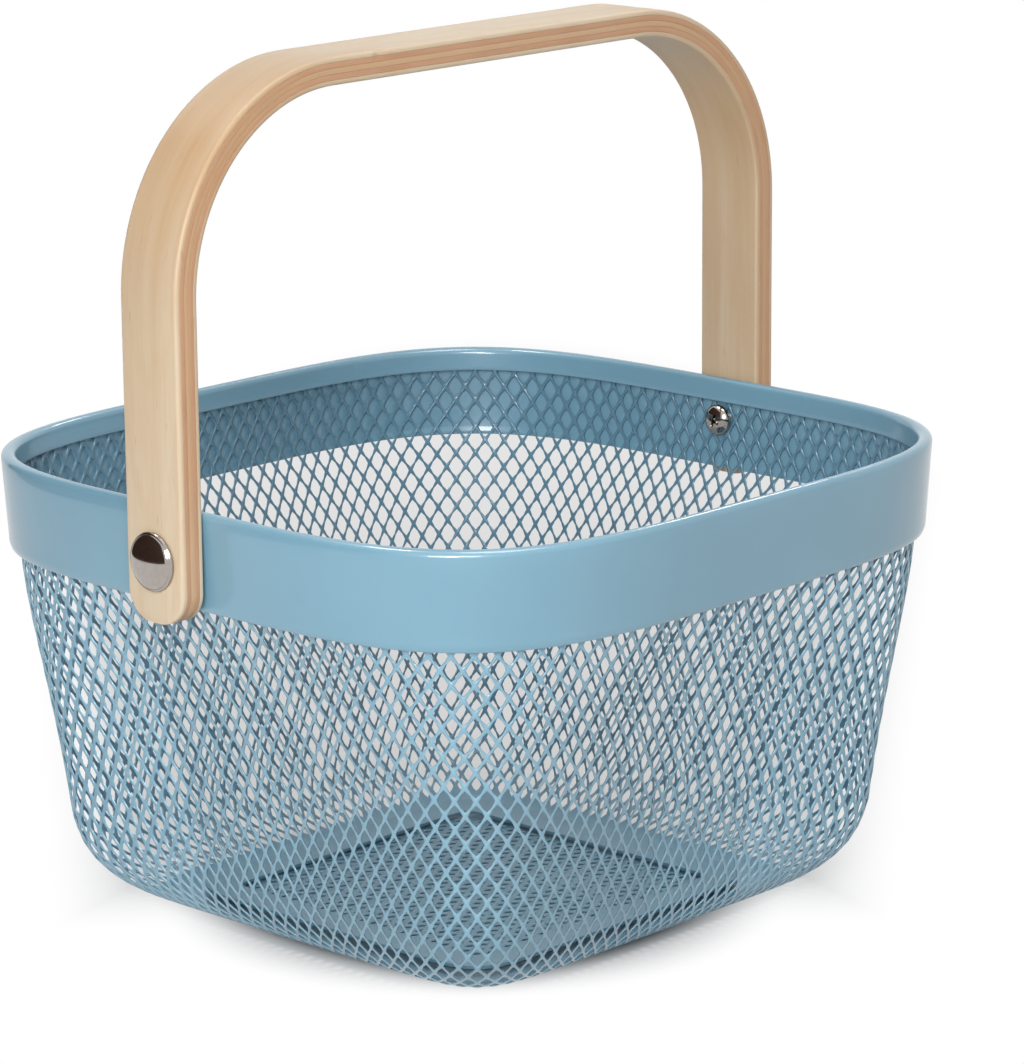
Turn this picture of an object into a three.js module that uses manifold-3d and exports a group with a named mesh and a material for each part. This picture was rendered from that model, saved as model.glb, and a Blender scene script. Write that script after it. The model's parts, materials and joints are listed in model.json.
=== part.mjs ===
// A small carrying basket: a rounded-square body of expanded steel with a smooth folded rim, and a bent
// plywood handle that swings on two pivots. Millimetres, +Z up. The origin is on the table under the
// middle of the basket, and X runs from pivot to pivot.

import * as THREE from 'three';
import { mergeVertices } from 'three/addons/utils/BufferGeometryUtils.js';
import Module from 'manifold-3d';

const wasm = await Module();
wasm.setup();

// Body, measured outside
const RIM_LENGTH = 208;
const RIM_WIDTH = 202;
const BODY_HEIGHT = 125;
const BASE_LENGTH = 95;
const BASE_WIDTH = 94;
const RIM_SQUARENESS = 4;
const FOOT_SQUARENESS = 9;
const ROUNDING_POWER = 1.1;

// Rim band: a sheet whose top edge is folded in and down over the mesh
const BAND_HEIGHT = 25.5;
const BAND_SHEET = 0.8;
const BAND_TAPER = 1.2;
const HEM_DEPTH = 6.5;
const EDGE_TUCK = 0.7;
const EDGE_TUCK_HEIGHT = 2.5;

// Wall of expanded metal, and the border and panel of the base
const MESH_THICKNESS = 1.2;
const WALL_FOOT_INSET = 21.2;
const WALL_FOOT_HEIGHT = 26;
const WALL_BOW = 2.25;
const WALL_COVERED_HEIGHT = 8;
const FLANGE_WIDTH = 6;
const STRAND_WIDTH = 3;
const MESH_COLUMNS = 32;
const MESH_ROWS = 8;
const BASE_RING_SHEET = 0.8;
const BASE_RING_LAP = 3;
const BASE_RING_RISE = 18;
const PANEL_LAP = 5.5;
const PANEL_MESH_LENGTH = 20;
const PANEL_MESH_WIDTH = 13;

// Handle: plies glued face to face
const HANDLE_WIDTH = 20;
const HANDLE_RISE = 107.4;
const HANDLE_BEND_RADIUS = 55;
const HANDLE_END_RADIUS = 8;
const HANDLE_TAIL = 15.7;
const PLY_THICKNESS = 1.36;
const GLUE_LINE = 0.1;

// Pivots: a capped barrel from outside takes a screw from inside
const HEAD_BELOW_HEM = 1.05;
const BARREL_RADIUS = 3;
const BARREL_WALL = 0.7;
const SHANK_REACH = 8;
const CAP_RADIUS = 7.5;
const CAP_HEIGHT = 2.6;
const CAP_RIM_HEIGHT = 1;
const SCREW_HEAD_RADIUS = 4.25;
const SCREW_HEAD_HEIGHT = 2.6;
const CROSS_LENGTH = 4.4;
const CROSS_WIDTH = 0.9;
const CROSS_DEPTH = 1.5;
const WASHER_RADIUS = 6;
const WASHER_THICKNESS = 0.5;

// Fits
const SEAT_GAP = 0.3;
const BORE_GAP = 0.3;
const THREAD_GAP = 0.3;

const STATIONS = 2 * MESH_COLUMNS;
const BEND_STEPS = 10;
const FOLD_STEPS = 4;
const ROUND_STEPS = 16;

const PAINTED_STEEL = { color: 0x7fa6b8, roughness: 0.35, metalness: 0.1 };
const MESH_STEEL = { color: 0x769db0, roughness: 0.45, metalness: 0.1 };
const POLISHED_METAL = { color: 0xc8c8ca, roughness: 0.12, metalness: 1 };
const WASHER_PLASTIC = { color: 0x2b2d2f, roughness: 0.6, metalness: 0 };
const PLY_COLOURS = [0xe2cda9, 0xbf9468, 0xdcc39c, 0xbb8f63, 0xe0caa6];

const basket = new THREE.Group();

function addPart(name, geometry, look) {
  const mesh = new THREE.Mesh(geometry, new THREE.MeshStandardMaterial(look));
  mesh.name = name;
  basket.add(mesh);
}

// Closed solids and their cuts

function toSolid(geometry) {
  const bare = geometry.clone();
  bare.deleteAttribute('normal');
  bare.deleteAttribute('uv');
  const merged = mergeVertices(bare);
  const vertProperties = new Float32Array(merged.attributes.position.array);
  const triVerts = new Uint32Array(merged.index.array);
  return new wasm.Manifold(new wasm.Mesh({ numProp: 3, vertProperties, triVerts }));
}

function toGeometry(solid) {
  const { vertProperties, triVerts } = solid.getMesh();
  const geometry = new THREE.BufferGeometry();
  geometry.setAttribute('position', new THREE.BufferAttribute(vertProperties, 3));
  geometry.setIndex(new THREE.BufferAttribute(triVerts, 1));
  geometry.computeVertexNormals();
  return geometry;
}

// A list of flat facets that becomes one geometry with shared corners
class Facets {
  constructor() {
    this.corners = [];
  }

  face(...points) {
    for (let k = 2; k < points.length; k += 1) {
      this.corners.push(points[0], points[k - 1], points[k]);
    }
  }

  geometry() {
    const soup = new THREE.BufferGeometry().setFromPoints(this.corners);
    const joined = mergeVertices(soup);
    joined.computeVertexNormals();
    return joined;
  }
}

// Plan of the basket: a rounded square, named by how far it lies inside the rim and by its height

class RoundedSquare extends THREE.Curve {
  constructor(halfLength, halfWidth, squareness) {
    super();
    this.halfLength = halfLength;
    this.halfWidth = halfWidth;
    this.squareness = squareness;
    this.arcLengthDivisions = 1600;
  }

  getPoint(t) {
    const across = Math.cos(2 * Math.PI * t);
    const along = Math.sin(2 * Math.PI * t);
    const sum = Math.abs(across / this.halfLength) ** this.squareness
      + Math.abs(along / this.halfWidth) ** this.squareness;
    const reach = sum ** (-1 / this.squareness);
    return new THREE.Vector3(reach * across, reach * along, 0);
  }
}

const BASE_INSET = (RIM_LENGTH - BASE_LENGTH) / 2;
const WIDTH_INSET_RATIO = (RIM_WIDTH - BASE_WIDTH) / (RIM_LENGTH - BASE_LENGTH);

const BAND_FOOT = BODY_HEIGHT - BAND_HEIGHT;

// Squarest at the foot of the wall, and rounder towards the band
function squarenessAt(height) {
  const risen = THREE.MathUtils.clamp((height - WALL_FOOT_HEIGHT) / (BAND_FOOT - WALL_FOOT_HEIGHT), 0, 1);
  return THREE.MathUtils.lerp(FOOT_SQUARENESS, RIM_SQUARENESS, risen ** ROUNDING_POWER);
}

function planAt({ x: inset, y: height }) {
  const halfLength = RIM_LENGTH / 2 - inset;
  const halfWidth = RIM_WIDTH / 2 - inset * WIDTH_INSET_RATIO;
  return new RoundedSquare(halfLength, halfWidth, squarenessAt(height));
}

function ringAt(place) {
  const ring = planAt(place).getSpacedPoints(STATIONS).slice(0, STATIONS);
  return ring.map((point) => point.setZ(place.y));
}

// A closed section of inset and height, carried once round the plan
function sweptRing(section) {
  const outline = section.map((point) => new THREE.Vector2(-point.x, point.y));
  const ordered = THREE.ShapeUtils.isClockWise(outline) ? [...section].reverse() : section;
  const rings = ordered.map(ringAt);
  const facets = new Facets();
  rings.forEach((ring, j) => {
    const above = rings[(j + 1) % rings.length];
    for (let i = 0; i < STATIONS; i += 1) {
      const next = (i + 1) % STATIONS;
      facets.face(ring[i], ring[next], above[next]);
      facets.face(ring[i], above[next], above[i]);
    }
  });
  return facets.geometry();
}

const section = (inset, height) => new THREE.Vector2(inset, height);

// Heights and places that several pieces share

const FOLD_RADIUS = BAND_SHEET + SEAT_GAP + MESH_THICKNESS / 2;
const FOLD_HEIGHT = BODY_HEIGHT - FOLD_RADIUS;
const TUCK_TOP = BAND_FOOT + EDGE_TUCK_HEIGHT;
const HEM_FOOT = BODY_HEIGHT - HEM_DEPTH;
const PIVOT_HEIGHT = HEM_FOOT - HEAD_BELOW_HEM - SCREW_HEAD_RADIUS;

const taperAt = (height) => BAND_TAPER * (FOLD_HEIGHT - height) / (FOLD_HEIGHT - TUCK_TOP);
const meshInsetAt = (height) => taperAt(height) + BAND_SHEET + SEAT_GAP;

const WASHER_TOP = PIVOT_HEIGHT + WASHER_RADIUS;
const MESH_INSIDE = RIM_LENGTH / 2 - meshInsetAt(PIVOT_HEIGHT) - MESH_THICKNESS;
const WASHER_SEAT = RIM_LENGTH / 2 - taperAt(WASHER_TOP) + SEAT_GAP;
const HANDLE_INSIDE = WASHER_SEAT + WASHER_THICKNESS + SEAT_GAP;

function pivotBore(radius) {
  const length = 2 * (HANDLE_INSIDE + BODY_HEIGHT);
  const bore = new THREE.CylinderGeometry(radius, radius, length, ROUND_STEPS);
  bore.rotateZ(Math.PI / 2).translate(0, 0, PIVOT_HEIGHT);
  return toSolid(bore);
}

const barrelBore = pivotBore(BARREL_RADIUS + BORE_GAP);
const bored = (geometry) => toGeometry(toSolid(geometry).subtract(barrelBore));

// Rim band: the lower edge tucks in, the sheet rises, and the hem folds over the mesh

function foldArc(radius, fromOutside) {
  const arc = new THREE.EllipseCurve(FOLD_RADIUS, FOLD_HEIGHT, radius, radius, Math.PI, 0, true);
  const points = arc.getPoints(FOLD_STEPS);
  return fromOutside ? points : points.reverse();
}

function rimBand() {
  const hemTaper = taperAt(HEM_FOOT);
  const innerFold = FOLD_RADIUS - BAND_SHEET;
  const outside = [section(BAND_TAPER + EDGE_TUCK, BAND_FOOT), section(BAND_TAPER, TUCK_TOP)];
  const hem = [
    section(2 * FOLD_RADIUS + hemTaper, HEM_FOOT),
    section(2 * FOLD_RADIUS + hemTaper - BAND_SHEET, HEM_FOOT),
  ];
  const inside = [
    section(BAND_TAPER + BAND_SHEET, TUCK_TOP),
    section(BAND_TAPER + EDGE_TUCK + BAND_SHEET, BAND_FOOT),
  ];
  return sweptRing([...outside, ...foldArc(FOLD_RADIUS, true), ...hem, ...foldArc(innerFold, false), ...inside]);
}

addPart('rim_band', bored(rimBand()), PAINTED_STEEL);

// Wall: its outer face runs down behind the band, bows in to the foot and bends into the base

const wallStart = section(meshInsetAt(BAND_FOOT + WALL_COVERED_HEIGHT), BAND_FOOT + WALL_COVERED_HEIGHT);
const bowStart = section(meshInsetAt(TUCK_TOP), TUCK_TOP);
const wallFoot = section(WALL_FOOT_INSET, WALL_FOOT_HEIGHT);
const bowControl = bowStart.clone().lerp(wallFoot, 0.5).add(section(2 * WALL_BOW, 0));
const footSlope = (wallFoot.x - bowControl.x) / (bowControl.y - wallFoot.y);
const bendControl = section(wallFoot.x + footSlope * wallFoot.y, 0);
const baseEdge = section(BASE_INSET, 0);

const wallLine = new THREE.CurvePath();
wallLine.add(new THREE.LineCurve(wallStart, bowStart));
wallLine.add(new THREE.QuadraticBezierCurve(bowStart, bowControl, wallFoot));
wallLine.add(new THREE.QuadraticBezierCurve(wallFoot, bendControl, baseEdge));

function besideWall(t, distance) {
  const along = wallLine.getTangent(t);
  return wallLine.getPoint(t).add(section(-along.y, along.x).multiplyScalar(distance));
}

// One face of the sheet: rings of corners from the hidden top edge to the turned-in flange
function sheetFace(distance) {
  const top = section(meshInsetAt(FOLD_HEIGHT) + distance, FOLD_HEIGHT);
  const rows = Array.from({ length: MESH_ROWS + 1 }, (_, j) => besideWall(j / MESH_ROWS, distance));
  const flange = section(BASE_INSET + FLANGE_WIDTH, distance);
  return { top: ringAt(top), rows: rows.map(ringAt), flange: ringAt(flange) };
}

// Corners of the opening in a diamond, drawn in so that a strand's width is left between openings
function openingCorners(centre, corners) {
  const halfLength = corners[0].distanceTo(corners[2]) / 2;
  const halfWidth = corners[1].distanceTo(corners[3]) / 2;
  const reach = halfLength * halfWidth / Math.hypot(halfLength, halfWidth);
  const share = 1 - STRAND_WIDTH / 2 / reach;
  return corners.map((corner) => centre.clone().lerp(corner, share));
}

function diamondCorners(rows, i, j) {
  const left = (i + STATIONS - 1) % STATIONS;
  const right = (i + 1) % STATIONS;
  return [rows[j - 1][i], rows[j][left], rows[j + 1][i], rows[j][right]];
}

function addDiamond(facets, outer, inner, i, j) {
  const outerCorners = diamondCorners(outer.rows, i, j);
  const innerCorners = diamondCorners(inner.rows, i, j);
  const outerOpening = openingCorners(outer.rows[j][i], outerCorners);
  const innerOpening = openingCorners(inner.rows[j][i], innerCorners);
  for (let k = 0; k < 4; k += 1) {
    const n = (k + 1) % 4;
    facets.face(outerCorners[k], outerCorners[n], outerOpening[n], outerOpening[k]);
    facets.face(innerCorners[n], innerCorners[k], innerOpening[k], innerOpening[n]);
    facets.face(outerOpening[k], outerOpening[n], innerOpening[n], innerOpening[k]);
  }
}

function addStrip(facets, upper, lower) {
  for (let i = 0; i < STATIONS; i += 1) {
    const next = (i + 1) % STATIONS;
    facets.face(upper[i], lower[i], lower[next], upper[next]);
  }
}

// The half diamonds along the lattice's two edges are left whole
function addEdgeTeeth(facets, edge, row, shift) {
  for (let i = shift; i < STATIONS; i += 2) {
    const left = (i + STATIONS - 1) % STATIONS;
    const right = (i + 1) % STATIONS;
    facets.face(edge[i], edge[left], row[i]);
    facets.face(edge[i], row[i], edge[right]);
  }
}

function wallMesh() {
  const outer = sheetFace(0);
  const inner = sheetFace(MESH_THICKNESS);
  const facets = new Facets();
  for (let j = 1; j < MESH_ROWS; j += 1) {
    for (let i = (j + 1) % 2; i < STATIONS; i += 2) addDiamond(facets, outer, inner, i, j);
  }
  const lastShift = (MESH_ROWS + 1) % 2;
  addEdgeTeeth(facets, outer.rows[0], outer.rows[1], 1);
  addEdgeTeeth(facets, inner.rows[0].toReversed(), inner.rows[1].toReversed(), 0);
  addEdgeTeeth(facets, outer.rows[MESH_ROWS].toReversed(), outer.rows[MESH_ROWS - 1].toReversed(), 1 - lastShift);
  addEdgeTeeth(facets, inner.rows[MESH_ROWS], inner.rows[MESH_ROWS - 1], lastShift);
  addStrip(facets, outer.top, outer.rows[0]);
  addStrip(facets, inner.rows[0], inner.top);
  addStrip(facets, outer.rows[MESH_ROWS], outer.flange);
  addStrip(facets, inner.flange, inner.rows[MESH_ROWS]);
  addStrip(facets, inner.top, outer.top);
  addStrip(facets, outer.flange, inner.flange);
  return facets.geometry();
}

addPart('wall_mesh', bored(wallMesh()), MESH_STEEL);

// Base panel: flat expanded metal resting on the flange

const PANEL_HEIGHT = MESH_THICKNESS + SEAT_GAP;
const RING_OFFSET = PANEL_HEIGHT + MESH_THICKNESS + SEAT_GAP;

function diamondPath(x, y, halfLength, halfWidth) {
  return new THREE.Path([
    new THREE.Vector2(x + halfLength, y),
    new THREE.Vector2(x, y + halfWidth),
    new THREE.Vector2(x - halfLength, y),
    new THREE.Vector2(x, y - halfWidth),
  ]);
}

function baseMesh() {
  const outline = ringAt(section(BASE_INSET + FLANGE_WIDTH - PANEL_LAP, PANEL_HEIGHT));
  const panel = new THREE.Shape(outline.map((point) => new THREE.Vector2(point.x, point.y)));
  const field = planAt(section(BASE_INSET + BASE_RING_LAP, PANEL_HEIGHT));
  const halfLength = PANEL_MESH_LENGTH / 2;
  const halfWidth = PANEL_MESH_WIDTH / 2;
  const share = 1 - STRAND_WIDTH / 2 * Math.hypot(halfLength, halfWidth) / (halfLength * halfWidth);
  const inField = (x, y) => Math.abs(x / field.halfLength) ** field.squareness
    + Math.abs(y / field.halfWidth) ** field.squareness < 1;
  const columns = Math.ceil(field.halfLength / halfLength);
  const rows = Math.ceil(field.halfWidth / halfWidth);
  for (let row = -rows; row <= rows; row += 1) {
    for (let column = -columns; column <= columns; column += 1) {
      const x = column * halfLength;
      const y = row * halfWidth;
      const whole = inField(Math.abs(x) + halfLength * share, y) && inField(x, Math.abs(y) + halfWidth * share);
      if ((row + column) % 2 !== 0 && whole) {
        panel.holes.push(diamondPath(x, y, halfLength * share, halfWidth * share));
      }
    }
  }
  const sheet = new THREE.ExtrudeGeometry(panel, { depth: MESH_THICKNESS, bevelEnabled: false });
  return toGeometry(toSolid(sheet.translate(0, 0, PANEL_HEIGHT)));
}

addPart('base_mesh', baseMesh(), MESH_STEEL);

// Base ring: laps the panel's edge and rises along the bend of the wall

function baseRing() {
  const bend = wallLine.curves[2];
  const risen = THREE.MathUtils.clamp(1 - BASE_RING_RISE / bend.getLength(), 0, 1);
  const face = (distance) => {
    const curved = [0, 1, 2].map((k) => {
      const t = THREE.MathUtils.lerp(risen, 1, k / 3);
      const along = bend.getTangentAt(t);
      return bend.getPointAt(t).add(section(-along.y, along.x).multiplyScalar(distance));
    });
    return [...curved, section(BASE_INSET, distance), section(BASE_INSET + BASE_RING_LAP, distance)];
  };
  return sweptRing([...face(RING_OFFSET), ...face(RING_OFFSET + BASE_RING_SHEET).reverse()]);
}

addPart('base_ring', baseRing(), PAINTED_STEEL);

// Handle: each ply is a strip bent into an arch, with rounded lower ends and the pivot bore

const HANDLE_FOOT = PIVOT_HEIGHT - HANDLE_TAIL;
const PLY_PITCH = PLY_THICKNESS + GLUE_LINE;
const HANDLE_THICKNESS = PLY_COLOURS.length * PLY_PITCH - GLUE_LINE;
const HANDLE_OUTSIDE = HANDLE_INSIDE + HANDLE_THICKNESS;
const HANDLE_TOP = BODY_HEIGHT + HANDLE_RISE;

function archLine(depth) {
  const half = HANDLE_OUTSIDE - depth;
  const radius = HANDLE_BEND_RADIUS - depth;
  const centre = new THREE.Vector2(HANDLE_OUTSIDE - HANDLE_BEND_RADIUS, HANDLE_TOP - HANDLE_BEND_RADIUS);
  const bend = new THREE.EllipseCurve(centre.x, centre.y, radius, radius, 0, Math.PI / 2);
  const rightSide = [new THREE.Vector2(half, HANDLE_FOOT), ...bend.getPoints(BEND_STEPS)];
  const leftSide = rightSide.map((point) => new THREE.Vector2(-point.x, point.y)).reverse();
  return [...rightSide, ...leftSide];
}

function standingSlab(outline, depth) {
  const slab = new THREE.ExtrudeGeometry(new THREE.Shape(outline), { depth, bevelEnabled: false });
  return slab.rotateX(Math.PI / 2).translate(0, depth / 2, 0);
}

function roundedBlank() {
  const half = HANDLE_WIDTH / 2;
  const radius = Math.min(HANDLE_END_RADIUS, half);
  const blank = new THREE.Shape();
  blank.moveTo(half, HANDLE_TOP + half);
  blank.lineTo(-half, HANDLE_TOP + half);
  blank.lineTo(-half, HANDLE_FOOT + radius);
  blank.absarc(radius - half, HANDLE_FOOT + radius, radius, Math.PI, 1.5 * Math.PI);
  blank.absarc(half - radius, HANDLE_FOOT + radius, radius, 1.5 * Math.PI, 2 * Math.PI);
  blank.closePath();
  const span = 2 * HANDLE_OUTSIDE + HANDLE_WIDTH;
  const slab = new THREE.ExtrudeGeometry(blank, { depth: span, bevelEnabled: false, curveSegments: 6 });
  slab.rotateX(Math.PI / 2).rotateZ(Math.PI / 2).translate(-span / 2, 0, 0);
  return toSolid(slab);
}

const handleBlank = roundedBlank();
const PLY_NAMES = ['handle_outer_veneer', 'handle_outer_cross_ply', 'handle_core_ply',
  'handle_inner_cross_ply', 'handle_inner_veneer'];

PLY_NAMES.forEach((name, k) => {
  const depth = k * PLY_PITCH;
  const arch = [...archLine(depth), ...archLine(depth + PLY_THICKNESS).reverse()];
  const strip = toSolid(standingSlab(arch, HANDLE_WIDTH)).intersect(handleBlank).subtract(barrelBore);
  addPart(name, toGeometry(strip), { color: PLY_COLOURS[k], roughness: 0.6, metalness: 0 });
});

// Pivot hardware, turned about the pivot axis. A profile runs from the axis outwards; +X points away
// from the basket on the right side, and the left side is the same piece turned about Z.

function turnedPiece(profile) {
  const points = profile.map(([along, radius]) => new THREE.Vector2(radius, along));
  const turned = new THREE.LatheGeometry(points, ROUND_STEPS);
  const solid = toSolid(turned.rotateZ(-Math.PI / 2));
  return solid.volume() < 0 ? toSolid(turned.scale(1, 1, -1)) : solid;
}

function capNut() {
  const seat = HANDLE_OUTSIDE + SEAT_GAP;
  const bore = BARREL_RADIUS - BARREL_WALL;
  const shankEnd = MESH_INSIDE - SEAT_GAP + SHANK_REACH + THREAD_GAP;
  return turnedPiece([
    [shankEnd, 0],
    [shankEnd, bore],
    [MESH_INSIDE, bore],
    [MESH_INSIDE, BARREL_RADIUS],
    [seat, BARREL_RADIUS],
    [seat, CAP_RADIUS],
    [seat + CAP_RIM_HEIGHT, CAP_RADIUS],
    [seat + CAP_HEIGHT * 0.8, CAP_RADIUS * 0.78],
    [seat + CAP_HEIGHT, CAP_RADIUS * 0.4],
    [seat + CAP_HEIGHT, 0],
  ]);
}

function crossRecess(headTop) {
  const long = CROSS_LENGTH / 2;
  const short = CROSS_WIDTH / 2;
  const depth = 2 * CROSS_DEPTH;
  const blade = new THREE.BoxGeometry(depth, 2 * long, 2 * short).translate(headTop, 0, 0);
  const crossBlade = new THREE.BoxGeometry(depth, 2 * short, 2 * long).translate(headTop, 0, 0);
  return toSolid(blade).add(toSolid(crossBlade));
}

function crossHeadScrew() {
  const seat = MESH_INSIDE - SEAT_GAP;
  const shank = BARREL_RADIUS - BARREL_WALL - THREAD_GAP;
  const top = seat - SCREW_HEAD_HEIGHT;
  const screw = turnedPiece([
    [top, 0],
    [top + SCREW_HEAD_HEIGHT * 0.1, SCREW_HEAD_RADIUS * 0.5],
    [top + SCREW_HEAD_HEIGHT * 0.4, SCREW_HEAD_RADIUS * 0.87],
    [top + SCREW_HEAD_HEIGHT * 0.75, SCREW_HEAD_RADIUS],
    [seat, SCREW_HEAD_RADIUS],
    [seat, shank],
    [seat + SHANK_REACH, shank],
    [seat + SHANK_REACH, 0],
  ]);
  return screw.subtract(crossRecess(top));
}

function spacerWasher() {
  const bore = BARREL_RADIUS + BORE_GAP;
  const outside = WASHER_SEAT + WASHER_THICKNESS;
  return turnedPiece([
    [WASHER_SEAT, bore],
    [WASHER_SEAT, WASHER_RADIUS],
    [outside, WASHER_RADIUS],
    [outside, bore],
    [WASHER_SEAT, bore],
  ]);
}

for (const side of ['left', 'right']) {
  const turn = side === 'left' ? Math.PI : 0;
  const place = (solid) => toGeometry(solid).rotateZ(turn).translate(0, 0, PIVOT_HEIGHT);
  addPart(`${side}_cap_nut`, place(capNut()), POLISHED_METAL);
  addPart(`${side}_screw`, place(crossHeadScrew()), POLISHED_METAL);
  addPart(`${side}_washer`, place(spacerWasher()), WASHER_PLASTIC);
}

export default basket;
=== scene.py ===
# %% [markdown]
# # A mesh basket with a bent-wood handle
# The basket is a rounded square of expanded steel, painted grey-blue. A smooth band is folded over its
# top edge, and a strip of bent birch plywood swings on two pivots at the rim. The solid model already
# says how big every piece is and where it sits, so this lesson only makes the surfaces: fine mesh, rolled
# edges, grain and paint. It starts by loading that model, because every later size is read from it.

# %% Load the solid model
import json
import math

import bmesh
import bpy
import numpy as np
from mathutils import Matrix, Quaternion, Vector


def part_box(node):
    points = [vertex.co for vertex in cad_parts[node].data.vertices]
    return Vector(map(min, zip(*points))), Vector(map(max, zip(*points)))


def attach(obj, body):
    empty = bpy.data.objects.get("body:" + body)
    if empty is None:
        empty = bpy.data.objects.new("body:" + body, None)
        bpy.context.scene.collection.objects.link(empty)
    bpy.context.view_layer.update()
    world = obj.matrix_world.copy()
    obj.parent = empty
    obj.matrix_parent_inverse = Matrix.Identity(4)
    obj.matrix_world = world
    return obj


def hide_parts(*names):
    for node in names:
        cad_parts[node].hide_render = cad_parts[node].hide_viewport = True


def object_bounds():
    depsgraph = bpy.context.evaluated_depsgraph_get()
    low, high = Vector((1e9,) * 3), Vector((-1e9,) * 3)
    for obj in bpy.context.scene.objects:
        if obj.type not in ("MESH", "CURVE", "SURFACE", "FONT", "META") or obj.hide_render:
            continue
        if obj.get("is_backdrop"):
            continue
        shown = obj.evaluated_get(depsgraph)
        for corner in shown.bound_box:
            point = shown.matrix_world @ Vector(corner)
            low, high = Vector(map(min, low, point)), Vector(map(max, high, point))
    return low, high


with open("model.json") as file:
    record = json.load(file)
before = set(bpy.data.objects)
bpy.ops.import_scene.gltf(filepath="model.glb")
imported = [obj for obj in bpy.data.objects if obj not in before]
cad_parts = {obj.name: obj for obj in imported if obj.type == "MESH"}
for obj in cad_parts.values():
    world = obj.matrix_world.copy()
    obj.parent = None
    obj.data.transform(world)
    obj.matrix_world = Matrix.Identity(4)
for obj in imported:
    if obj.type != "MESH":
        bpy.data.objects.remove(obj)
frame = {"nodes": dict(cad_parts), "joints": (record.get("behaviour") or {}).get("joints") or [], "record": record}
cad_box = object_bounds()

MM = 0.001
print("nodes:", ", ".join(sorted(frame["nodes"])))

# %% [markdown]
# ## The camera
# The picture was taken with a long lens from a little above the rim, looking at the corner between two
# sides. A long lens could be imitated by stepping the camera back until the sides look parallel, but the
# place here comes from fitting a pinhole camera to the rim, the body and the handle, whose sizes are
# known. It is made first, so that every later piece can be judged in the right view.

# %% Place the camera
CAMERA_PLACE = Vector((-846.7, -807.3, 388.1)) * MM
CAMERA_AIM = Vector((7.7, -8.1, 99.65)) * MM
CAMERA_ROLL = math.radians(-0.454)
CAMERA_LENS = 154.9
SENSOR_WIDTH = 36
NEAREST_SEEN = 0.05
FARTHEST_SEEN = 50

camera = bpy.data.objects.new("camera", bpy.data.cameras.new("camera"))
bpy.context.scene.collection.objects.link(camera)
bpy.context.scene.camera = camera
camera.data.lens = CAMERA_LENS
camera.data.sensor_width = SENSOR_WIDTH
camera.data.clip_start, camera.data.clip_end = NEAREST_SEEN, FARTHEST_SEEN
camera.location = CAMERA_PLACE
camera.rotation_mode = "QUATERNION"
gaze = (CAMERA_AIM - CAMERA_PLACE).to_track_quat("-Z", "Y")
camera.rotation_quaternion = gaze @ Quaternion((0, 0, 1), CAMERA_ROLL)
print("camera stands", round((CAMERA_AIM - CAMERA_PLACE).length, 3), "m from its aim")

# %% [markdown]
# ## Sizes that the pieces share
# The band, the wall and the base all follow one family of rounded squares. A place in the basket's
# section is given by how far it lies inside the rim's outline and by its height. The driving sizes come
# from the boxes of the solid pieces, and the rest are the sheet thicknesses and gaps that the boxes can't
# show.

# %% Read the driving sizes
rim_low, rim_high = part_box("rim_band")
panel_low, panel_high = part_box("base_mesh")
PIVOT_HEIGHT = frame["joints"][0]["pos_m"][2]

RIM_HALF_X = rim_high.x
RIM_HALF_Y = rim_high.y
RIM_TOP = rim_high.z
BAND_FOOT = rim_low.z
NARROWING = (RIM_HALF_Y - panel_high.y) / (RIM_HALF_X - panel_high.x)

PANEL_INSIDE = 0.5 * MM
BASE_INSET = RIM_HALF_X - panel_high.x - PANEL_INSIDE
FLANGE_WIDTH = 3 * MM
WALL_FOOT_INSET = 21.2 * MM
WALL_FOOT_HEIGHT = 26 * MM
WALL_BOW = 2.25 * MM
BAND_SHEET = 0.8 * MM
BAND_TAPER = 1.2 * MM
EDGE_TUCK = 0.4 * MM
EDGE_TUCK_HEIGHT = 2.5 * MM
HEM_DEPTH = 6.5 * MM
FOLD_RADIUS = 1.7 * MM
SEAT_GAP = 0.3 * MM

FOLD_HEIGHT = RIM_TOP - FOLD_RADIUS
HEM_FOOT = RIM_TOP - HEM_DEPTH
TUCK_TOP = BAND_FOOT + EDGE_TUCK_HEIGHT
rim_size = [round(2 * half / MM, 1) for half in (RIM_HALF_X, RIM_HALF_Y)]
print("rim", rim_size, "mm, band foot", round(BAND_FOOT / MM, 1), "mm up")

# %% [markdown]
# ## The rounded square
# Seen from above, the basket is a superellipse: almost square at the foot of the wall, and rounder at the
# rim. Four arcs and four lines would be simpler, but the arcs would meet the lines with a visible change
# of curvature in the glossy band. Points are spaced evenly along the outline, so that the mesh keeps its
# pitch.

# %% Outline of the basket at any height
RIM_SQUARENESS = 4
FOOT_SQUARENESS = 9
ROUNDING_POWER = 1.1
FINE_STEPS = 16


def squareness_at(height):
    risen = np.clip((height - WALL_FOOT_HEIGHT) / (BAND_FOOT - WALL_FOOT_HEIGHT), 0, 1)
    return FOOT_SQUARENESS + (RIM_SQUARENESS - FOOT_SQUARENESS) * risen ** ROUNDING_POWER


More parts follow.
